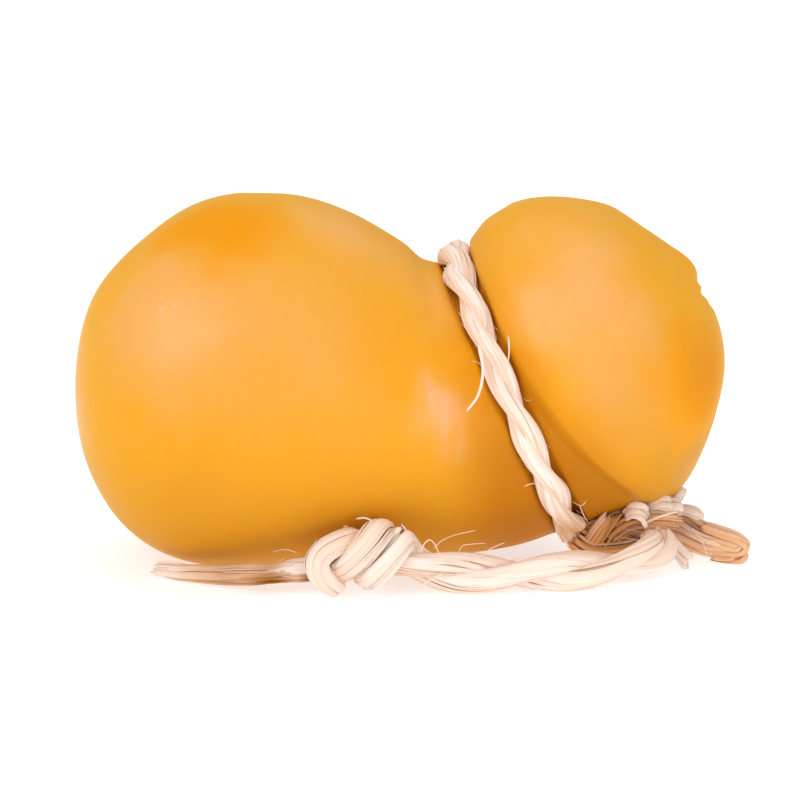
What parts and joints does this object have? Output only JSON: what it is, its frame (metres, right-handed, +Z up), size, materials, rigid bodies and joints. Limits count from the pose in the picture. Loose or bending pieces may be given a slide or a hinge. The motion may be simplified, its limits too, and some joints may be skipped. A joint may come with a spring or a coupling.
{
  "type": "smoked scamorza cheese",
  "caption": "Pear-shaped smoked cheese lying on its side, with a pinched waist, a folded head and a knotted raffia rope tied round the neck.",
  "frame": {"origin": "on the surface the cheese rests on, below the middle of its box, the free rope not counted", "axes": "+X from the belly to the head, +Z up, -Y towards the side where the rope's lead lies"},
  "size_m": [0.1339, 0.0766, 0.0733],
  "materials": {
    "smoked_rind": "satin, waxy, slightly translucent smoked rind",
    "raffia": "dry natural plant fibre, laid in twisted strands"
  },
  "bodies": {
    "root": {"cheese": "smoked_rind", "neck_loop": "raffia", "neck_tie": "raffia", "lead": "raffia", "end_knot": "raffia", "tail": "raffia", "short_end": "raffia"}
  },
  "joints": []
}
